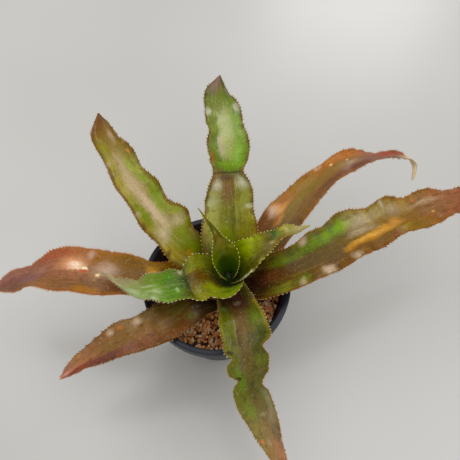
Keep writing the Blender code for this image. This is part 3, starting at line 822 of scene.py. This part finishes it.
innerRightShape = {
    "azimuth": 30,
    "midrib": [(5, 0, 100), (15, 2, 116), (25, -1, 124), (41, -1, 128), (61, -5, 127)],
    "left": [9, 12, 11, 10, 9, 7, 5, 4, 2, 0.3],
    "right": [9, 13, 16, 15, 10, 6, 4, 3, 3, 0.3],
    "channel": [70, 45, 30, 20, 20, 30], "sheath": (0.1, 0.30),
    "rippleLeft": (4, 0.6, 0.1), "rippleRight": (4, 0.6, 0.5),
    "spine": 0.95,
}
innerRightLook = {
    **greenUnder, "seed": 9, "lift": 0.97, "fullness": 1.4, "flecks": 0.14, "length": 70,
    "middle": [(0.06, "1c2800"), (0.2, "5c6400"), (0.34, "848c04"), (0.46, "6c6808"), (0.56, "5c4c14"),
        (0.64, "4c5c18"), (0.75, "847c40"), (0.92, "a49870")],
    "leftTones": [(0.06, "1c3400"), (0.22, "707c00"), (0.34, "94a40c"), (0.48, "8c900c"),
        (0.58, "645810"), (0.65, "344808"), (0.76, "9c9450"), (0.92, "b4a878")],
    "rightTones": [(0.06, "202400"), (0.22, "343800"), (0.36, "4c4400"), (0.46, "5c5008"),
        (0.56, "746444"), (0.68, "745c34"), (0.8, "8c7c4c"), (0.92, "8c7c54")],
    "edgeTones": [(0.1, "808c20"), (0.4, "8c9424"), (0.6, "84783c"), (0.9, "b4a878")],
    "edgeShare": 0.3, "spineFoot": "6c6c20", "spineTip": "dcd4a0",
    "dark": "242c04", "light": "a0a444", "sheen": "ccc8a0", "darkShare": 0.4, "lightShare": 0.25,
    "patches": [
        (0.32, 0.35, 0.07, 0.35, "98ac10", 0.85),
        (0.46, 0.15, 0.03, 0.25, "94983c", 0.5),
        (0.64, 0.6, 0.022, 0.4, "2c4408", 0.8),
        (0.67, 0.1, 0.025, 0.3, "5c7828", 0.7),
        # painted highlight: a bright white line along the lower edge
        (0.24, -0.98, 0.12, 0.1, "f4f0d8", 0.95),
        (0.88, 0.0, 0.1, 1.2, "948c6c", 0.7),
    ],
    "paintedSheens": [(0.76, 0.3, 0.02, 0.6, 0.5), (0.58, -0.4, 0.03, 0.25, 0.5), (0.44, -0.9, 0.02, 0.15, 0.6)],
    "scurf": 0.4, "bloom": [(0.6, 0.85, 0.3)],
}
finishLeaf(growLeaf("innerRightLeaf", innerRightShape, 19), "leaf_inner_right", innerRightLook)

heartShape = {
    "azimuth": 112,
    "midrib": [(4, 0, 103), (7, 0, 114), (9, 0, 124), (18, 2, 138), (31, 8, 152)],
    "left": [10.5, 14, 14, 11.5, 8, 4, 2, 1, 0.6, 0.3],
    "right": [10.5, 14, 13, 11, 8, 4, 2, 1, 0.6, 0.3],
    "channel": [80, 70, 50, 30, 30, 30], "sheath": (0.2, 0.50),
    "spine": 0.8,
}
heartLook = {
    **greenUnder, "seed": 10, "lift": 1.15, "fullness": 1.4, "length": 60,
    "middle": [(0.0, "2c4c04"), (0.22, "304808"), (0.34, "505808"), (0.46, "706c10"), (0.58, "746418"),
        (0.7, "5c5814"), (0.85, "6c6438"), (1.0, "8c8060")],
    "leftTones": [(0.0, "385404"), (0.22, "486008"), (0.36, "5c680c"), (0.5, "5c5808"), (0.62, "54500c"),
        (0.75, "585414"), (1.0, "8c8060")],
    "rightTones": [(0.0, "2c4804"), (0.25, "405408"), (0.4, "5c600c"), (0.55, "605c0c"), (0.65, "504c08"),
        (0.75, "585414"), (1.0, "8c8060")],
    "edgeTones": [(0.0, "3c4c04"), (0.4, "6c7418"), (0.7, "74742c"), (1.0, "a49c70")],
    "edgeShare": 0.4, "spineFoot": "5c6414", "spineTip": "dcdc98",
    "dark": "242c00", "light": "74742c", "sheen": "b0b480", "darkShare": 0.4, "lightShare": 0.15,
    "patches": [(0.5, -0.1, 0.06, 0.3, "745c14", 0.5)],
    "paintedSheens": [(0.42, -0.75, 0.04, 0.2, 0.3), (0.66, 0.0, 0.03, 0.3, 0.3)],
}
finishLeaf(growLeaf("heartLeaf", heartShape, 20), "leaf_heart", heartLook)


def turnRings(name, sides, rings, centre):
    # a small disc grown ring by ring: each step is one extrude, moved and resized
    bpy.ops.object.select_all(action="DESELECT")
    first = rings[0]
    seat = (centre[0], centre[1], centre[2] + first[1] * mm)
    bpy.ops.mesh.primitive_circle_add(vertices=sides, radius=first[0] * mm, location=seat)
    piece = bpy.context.object
    piece.name = name
    piece.data.name = name
    bpy.ops.object.transform_apply(location=True, rotation=True, scale=True)
    bpy.ops.object.mode_set(mode="EDIT")
    bpy.ops.mesh.select_mode(type="EDGE")
    bpy.ops.mesh.select_all(action="SELECT")
    radius, height = first
    for nextRadius, nextHeight in rings[1:]:
        rise = (nextHeight - height) * mm
        bpy.ops.mesh.extrude_region_move(TRANSFORM_OT_translate={"value": (0, 0, rise)})
        middle = (centre[0], centre[1], centre[2] + nextHeight * mm)
        share = nextRadius / radius
        bpy.ops.transform.resize(value=(share, share, 1), center_override=middle)
        radius, height = nextRadius, nextHeight
    bpy.ops.mesh.edge_face_add()
    bpy.ops.mesh.select_all(action="DESELECT")
    bpy.ops.mesh.select_non_manifold()
    bpy.ops.mesh.edge_face_add()
    bpy.ops.mesh.select_all(action="SELECT")
    bpy.ops.mesh.normals_make_consistent(inside=False)
    bpy.ops.object.mode_set(mode="OBJECT")
    return piece


potShape = {
    "sides": 160,
    "rings": [
        (0.6, 6.0), (20.0, 6.0), (28.4, 6.0), (29.5, 6.7), (30.3, 9.0), (38.3, 42.0), (46.2, 75.0),
        (46.8, 77.0), (47.6, 81.0), (48.3, 87.5), (48.5, 89.2), (48.9, 89.8), (49.6, 90.0), (51.6, 90.0),
        (52.2, 89.8), (52.5, 89.2), (52.4, 86.0), (51.8, 78.9), (51.6, 78.2), (51.1, 78.0), (49.4, 78.0),
        (48.7, 77.8), (48.2, 77.2), (40.5, 42.0), (31.5, 2.0), (31.1, 0.5), (30.5, 0.0), (28.4, 0.0),
        (27.8, 0.5), (26.6, 3.6), (26.0, 4.0), (10.9, 4.0), (10.3, 3.6), (9.2, 0.4), (8.8, 0.0),
        (0.6, 0.0),
    ],
    "drainRing": 18.5, "drainRadius": 4.0, "drains": 8,
}
potCentre = Vector((rimCentre[0], rimCentre[1], baseHeight))
pot = turnRings("nurseryPot", potShape["sides"], potShape["rings"], potCentre)
for k in range(potShape["drains"]):
    a = 2 * pi * (k + 0.5) / potShape["drains"]
    spot = potCentre + Vector((potShape["drainRing"] * cos(a), potShape["drainRing"] * sin(a), 5)) * mm
    bpy.ops.object.select_all(action="DESELECT")
    radius = potShape["drainRadius"] * mm
    bpy.ops.mesh.primitive_cylinder_add(vertices=32, radius=radius, depth=16 * mm, location=spot)
    drill = bpy.context.object
    bpy.context.view_layer.objects.active = pot
    hole = pot.modifiers.new("drain", "BOOLEAN")
    hole.operation = "DIFFERENCE"
    hole.solver = "EXACT"
    hole.object = drill
    bpy.ops.object.modifier_apply(modifier="drain")
    bpy.data.objects.remove(drill, do_unlink=True)
bpy.ops.object.select_all(action="DESELECT")
pot.select_set(True)
bpy.context.view_layer.objects.active = pot
bpy.ops.object.shade_smooth_by_angle(angle=radians(35))

plastic, body, shader = onBody("navy_black_plastic")
haze = body.noise(40.0, 3.0)
scuff = body.stretch(1.0, 1.0, 6.0).noise(300.0, 4.0, 0.65)
dust = body.noise(1500.0, 2.0)
tone = haze.ramp([(0.3, "0c1220"), (0.7, "161f32")])
tone = tone.into(paint("3a3f48"), scuff.rise(0.62, 0.8) * 0.2)
tone = tone.into(paint("8c8478"), dust.rise(0.7, 0.8) * 0.25)
feed(tone, shader, "Base Color")
feed(haze * 0.12 + scuff * 0.2 + 0.26, shader, "Roughness")
bumpInto(shader, scuff * 0.5 + dust * 0.5, 0.0002, 0.25)
shader.inputs["Specular IOR Level"].default_value = 0.4
pot.data.materials.append(plastic)
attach(pot, "root")
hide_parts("pot")
print("pot turned", len(pot.data.polygons), "faces")

# planting mix: a dark bed with loose granules lying in it
mixLow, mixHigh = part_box("planting_mix")
mixShape = {
    "edge": 72.0, "crown": 77.3, "floor": 6.4, "radius": (mixHigh[0] - mixLow[0]) / 2 / mm,
    "bedDrop": 1.2, "bedSteps": 21, "grains": 2700, "grainSize": (0.75, 1.45), "grainDepth": (-1.5, 0.35),
    "kinds": 7, "seed": 4, "sink": 0.4, "wallGap": 0.9, "overlap": 0.2, "stemGap": 0.4,
    "tones": [(0.0, "a8582c"), (0.25, "dc8c48"), (0.55, "fcac64"), (0.8, "ffcc90"), (1.0, "fff0d0")],
}


def bedHeight(r):
    f = max(0.0, 1 - r / mixShape["radius"])
    return mixShape["edge"] + (mixShape["crown"] - mixShape["edge"]) * sin(f * pi / 2) - mixShape["sink"]


bedRadius = mixShape["radius"]
bedRings = [(0.5, bedHeight(0) - mixShape["bedDrop"])]
for k in range(1, mixShape["bedSteps"] + 1):
    r = bedRadius * k / mixShape["bedSteps"]
    bedRings.append((r, bedHeight(r) - mixShape["bedDrop"]))
bedRings += [(37.0, 40.0), (29.4, 7.6), (29.0, 6.8), (28.3, mixShape["floor"]), (0.5, mixShape["floor"])]
bed = turnRings("plantingMix", 96, bedRings, potCentre)

# one granule of each kind: a small box rounded and knocked out of true
dice = random.Random(mixShape["seed"])
kinds = []
for k in range(mixShape["kinds"]):
    bpy.ops.object.select_all(action="DESELECT")
    bpy.ops.mesh.primitive_cube_add(size=2.0, location=(0, 0, 0))
    grain = bpy.context.object
    bpy.ops.object.mode_set(mode="EDIT")
    bpy.ops.mesh.select_all(action="SELECT")
    bpy.ops.mesh.subdivide(number_cuts=1)
    bpy.ops.transform.tosphere(value=0.75)
    bpy.ops.object.mode_set(mode="OBJECT")
    corners = np.array([v.co for v in grain.data.vertices])
    squash = np.array([dice.uniform(0.7, 1.15), dice.uniform(0.75, 1.1), dice.uniform(0.6, 0.95)])
    knocks = np.array([[dice.uniform(-0.2, 0.2) for axis in range(3)] for corner in corners])
    faces = [tuple(p.vertices) for p in grain.data.polygons]
    kinds.append(((corners + knocks) * squash / 1.3, faces))
    bpy.data.objects.remove(grain, do_unlink=True)

grainPoints, grainFaces, grainTints = [], [], []
base = 0
reach = bedRadius - mixShape["wallGap"]
stemClear = (stemHigh[0] - stemLow[0]) / 2 / mm + mixShape["stemGap"]
axisOffset = ((plantAxis[0] - potCentre[0]) / mm, (plantAxis[1] - potCentre[1]) / mm)
laid = 0
while laid < mixShape["grains"]:
    r = reach * dice.random() ** 0.5
    a = dice.uniform(0, 2 * pi)
    size = dice.uniform(*mixShape["grainSize"])
    x, y = r * cos(a), r * sin(a)
    if (x - axisOffset[0]) ** 2 + (y - axisOffset[1]) ** 2 < (stemClear + size) ** 2:
        continue
    if r + size > bedRadius + mixShape["overlap"]:
        continue
    deep = dice.uniform(*mixShape["grainDepth"])
    corners, faces = kinds[dice.randrange(len(kinds))]
    turn = np.array([dice.uniform(0, 2 * pi) for axis in range(3)])
    cx, cy, cz = np.cos(turn)
    sx, sy, sz = np.sin(turn)
    spin = np.array([[cy * cz, -cy * sz, sy],
                     [sx * sy * cz + cx * sz, -sx * sy * sz + cx * cz, -sx * cy],
                     [-cx * sy * cz + sx * sz, cx * sy * sz + sx * cz, cx * cy]])
    placed = corners @ spin.T * size + np.array([x, y, bedHeight(r) + deep])
    grainPoints.append(placed)
    grainFaces += [tuple(i + base for i in face) for face in faces]
    tint = dice.random()
    grainTints += [tint] * len(corners)
    base += len(corners)
    laid += 1
grainMesh = bpy.data.meshes.new("grains")
grainMesh.from_pydata((np.vstack(grainPoints) * mm + np.array(potCentre)).tolist(), [], grainFaces)
grains = bpy.data.objects.new("grains", grainMesh)
bpy.context.scene.collection.objects.link(grains)
tintOf = grainMesh.attributes.new("grainTint", "FLOAT", "POINT")
tintOf.data.foreach_set("value", np.array(grainTints))

grit, body, shader = onBody("reddish_granules")
pick = body.node("ShaderNodeAttribute", {"attribute_name": "grainTint"}, {}, 2)
fine = body.noise(1800.0, 3.0, 0.6)
broad = body.noise(260.0, 2.0)
tone = pick.ramp(mixShape["tones"])
tone = tone.into((0.45, 0.4, 0.38, 1.0), fine.rise(0.4, 0.7) * 0.4, "MULTIPLY")
tone = tone.into(paint("e0b080"), broad.rise(0.6, 0.75) * 0.25)
feed(tone, shader, "Base Color")
shader.inputs["Roughness"].default_value = 0.92
bumpInto(shader, fine, 0.0005, 0.8)
grains.data.materials.append(grit)

dark, body, shader = onBody("dark_bed")
crumb = body.noise(900.0, 4.0, 0.7)
feed(crumb.ramp([(0.3, "1c0e06"), (0.6, "54301a"), (0.8, "9a5a30")]), shader, "Base Color")
shader.inputs["Roughness"].default_value = 0.95
bumpInto(shader, crumb, 0.001, 0.9)
bed.data.materials.append(dark)
bpy.ops.object.select_all(action="DESELECT")
bpy.context.view_layer.objects.active = bed
bed.select_set(True)
grains.select_set(True)
bpy.ops.object.join()
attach(bed, "root")
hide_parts("planting_mix")
print("planting mix laid", len(bed.data.polygons), "faces")


# the stem keeps its own mesh
fibreSkin, body, shader = onBody("stem_fibre")
strand = body.stretch(1.0, 1.0, 0.15).noise(900.0, 4.0, 0.6)
blotch = body.noise(160.0, 3.0)
tone = blotch.ramp([(0.3, "3c2a12"), (0.55, "6c5424"), (0.8, "8a7a3c")])
tone = tone.into(paint("1e1408"), strand.rise(0.5, 0.7) * 0.6)
height = body.node("ShaderNodeSeparateXYZ", {}, {0: body}, 2)
tone = tone.into(paint("24400a"), height.rise(0.080, 0.087))
feed(tone, shader, "Base Color")
shader.inputs["Roughness"].default_value = 0.8
bumpInto(shader, strand, 0.0006, 0.8)
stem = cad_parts["stem"]
stem.data.materials.clear()
stem.data.materials.append(fibreSkin)
print("stem finished")
